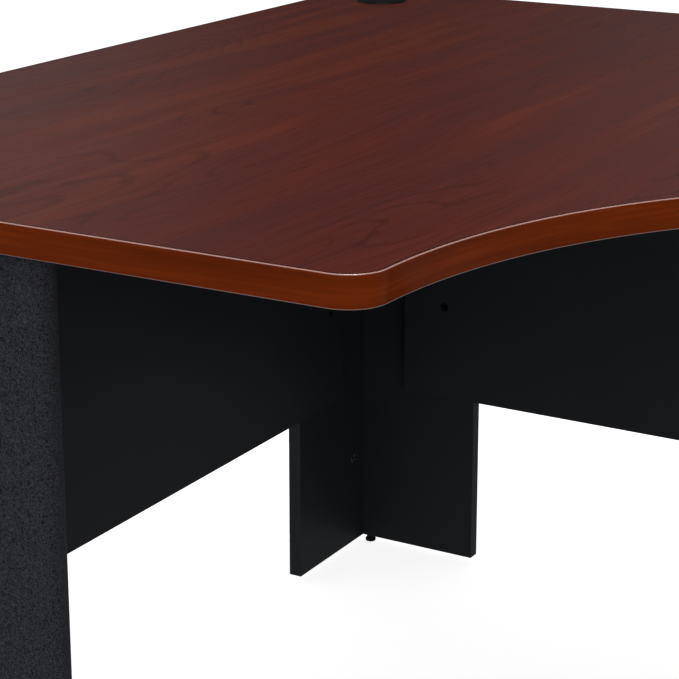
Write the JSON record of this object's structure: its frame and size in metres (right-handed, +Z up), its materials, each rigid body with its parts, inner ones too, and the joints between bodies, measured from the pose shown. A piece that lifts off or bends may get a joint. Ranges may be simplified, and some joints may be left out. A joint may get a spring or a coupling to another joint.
{
  "type": "corner desk",
  "caption": "Corner desk with a square woodgrain top hollowed out in front, two speckled end legs, an L-shaped corner leg, modesty panels, a cable grommet and levelling feet.",
  "frame": {"origin": "on the floor, under the middle of the square that the worktop is cut from", "axes": "+Z up, +X to the right along the back wall, +Y towards the back wall; the room corner is at -X +Y and the hollow front faces +X -Y"},
  "size_m": [1.21, 1.21, 0.7604],
  "materials": {
    "cherry_laminate": "satin woodgrain laminate",
    "cherry_edge": "satin woodgrain edge band",
    "black_laminate": "smooth satin black laminate",
    "speckled_charcoal": "matt speckled charcoal laminate",
    "black_plastic": "fine moulded texture",
    "black_nylon": "moulded nylon",
    "zinc": "die-cast zinc",
    "brass": "turned brass",
    "blackened_steel": "blackened steel",
    "plated_steel": "zinc-plated steel"
  },
  "bodies": {
    "desk": {"corner_foot_insert": "brass", "corner_leg_left_panel": "black_laminate", "corner_leg_right_panel": "black_laminate", "corner_lower_cam": "zinc", "corner_lower_cam_bolt": "plated_steel", "corner_upper_cam": "zinc", "corner_upper_cam_bolt": "plated_steel", "edge_band": "cherry_edge", "grommet_liner": "black_plastic", "left_back_foot_insert": "brass", "left_bracket": "plated_steel", "left_bracket_panel_screw": "plated_steel", "left_bracket_worktop_screw": "plated_steel", "left_end_leg": "speckled_charcoal", "left_end_lower_cam": "zinc", "left_end_lower_cam_bolt": "plated_steel", "left_end_upper_cam": "zinc", "left_end_upper_cam_bolt": "plated_steel", "left_front_foot_insert": "brass", "left_modesty_panel": "black_laminate", "left_panel_lower_bolt": "blackened_steel", "left_panel_lower_insert": "brass", "left_panel_upper_bolt": "blackened_steel", "left_panel_upper_insert": "brass", "left_top_back_cam": "zinc", "left_top_back_cam_bolt": "plated_steel", "left_top_front_cam": "zinc", "left_top_front_cam_bolt": "plated_steel", "right_back_foot_insert": "brass", "right_bracket": "plated_steel", "right_bracket_panel_screw": "plated_steel", "right_bracket_worktop_screw": "plated_steel", "right_end_leg": "speckled_charcoal", "right_end_lower_cam": "zinc", "right_end_lower_cam_bolt": "plated_steel", "right_end_upper_cam": "zinc", "right_end_upper_cam_bolt": "plated_steel", "right_front_foot_insert": "brass", "right_modesty_panel": "black_laminate", "right_panel_lower_bolt": "blackened_steel", "right_panel_lower_insert": "brass", "right_panel_upper_bolt": "blackened_steel", "right_panel_upper_insert": "brass", "right_top_back_cam": "zinc", "right_top_back_cam_bolt": "plated_steel", "right_top_front_cam": "zinc", "right_top_front_cam_bolt": "plated_steel", "worktop": "cherry_laminate"},
    "grommet_cap": {"grommet_cap": "black_plastic"},
    "corner_foot_pad": {"corner_foot_pad": "black_nylon"},
    "corner_foot_stem": {"corner_foot_stem": "plated_steel"},
    "left_back_foot_pad": {"left_back_foot_pad": "black_nylon"},
    "left_back_foot_stem": {"left_back_foot_stem": "plated_steel"},
    "left_front_foot_pad": {"left_front_foot_pad": "black_nylon"},
    "left_front_foot_stem": {"left_front_foot_stem": "plated_steel"},
    "right_back_foot_pad": {"right_back_foot_pad": "black_nylon"},
    "right_back_foot_stem": {"right_back_foot_stem": "plated_steel"},
    "right_front_foot_pad": {"right_front_foot_pad": "black_nylon"},
    "right_front_foot_stem": {"right_front_foot_stem": "plated_steel"}
  },
  "joints": [
    {"name": "grommet_cap_turn", "type": "hinge", "parent": "desk", "child": "grommet_cap", "pos_m": [-0.518, 0.518, 0.758], "axis": [0, 0, 1], "continuous": true},
    {"name": "corner_foot_drop", "type": "slide", "parent": "desk", "child": "corner_foot_pad", "axis": [0, 0, -1], "range_m": [0, 0.012]},
    {"name": "corner_foot_turn", "type": "hinge", "parent": "corner_foot_pad", "child": "corner_foot_stem", "pos_m": [-0.565, 0.581, 0.01], "axis": [0, 0, -1], "range_deg": [0, 4321]},
    {"name": "left_back_foot_drop", "type": "slide", "parent": "desk", "child": "left_back_foot_pad", "axis": [0, 0, -1], "range_m": [0, 0.012]},
    {"name": "left_back_foot_turn", "type": "hinge", "parent": "left_back_foot_pad", "child": "left_back_foot_stem", "pos_m": [-0.548, -0.569, 0.01], "axis": [0, 0, -1], "range_deg": [0, 4321]},
    {"name": "left_front_foot_drop", "type": "slide", "parent": "desk", "child": "left_front_foot_pad", "axis": [0, 0, -1], "range_m": [0, 0.012]},
    {"name": "left_front_foot_turn", "type": "hinge", "parent": "left_front_foot_pad", "child": "left_front_foot_stem", "pos_m": [-0.235, -0.569, 0.01], "axis": [0, 0, -1], "range_deg": [0, 4321]},
    {"name": "right_back_foot_drop", "type": "slide", "parent": "desk", "child": "right_back_foot_pad", "axis": [0, 0, -1], "range_m": [0, 0.012]},
    {"name": "right_back_foot_turn", "type": "hinge", "parent": "right_back_foot_pad", "child": "right_back_foot_stem", "pos_m": [0.569, 0.548, 0.01], "axis": [0, 0, -1], "range_deg": [0, 4321]},
    {"name": "right_front_foot_drop", "type": "slide", "parent": "desk", "child": "right_front_foot_pad", "axis": [0, 0, -1], "range_m": [0, 0.012]},
    {"name": "right_front_foot_turn", "type": "hinge", "parent": "right_front_foot_pad", "child": "right_front_foot_stem", "pos_m": [0.569, 0.235, 0.01], "axis": [0, 0, -1], "range_deg": [0, 4321]}
  ],
  "couplings": [
    {"joint": "corner_foot_turn", "follows": "corner_foot_drop", "rad_per_m": 6283.2},
    {"joint": "left_back_foot_turn", "follows": "left_back_foot_drop", "rad_per_m": 6283.2},
    {"joint": "left_front_foot_turn", "follows": "left_front_foot_drop", "rad_per_m": 6283.2},
    {"joint": "right_back_foot_turn", "follows": "right_back_foot_drop", "rad_per_m": 6283.2},
    {"joint": "right_front_foot_turn", "follows": "right_front_foot_drop", "rad_per_m": 6283.2}
  ]
}
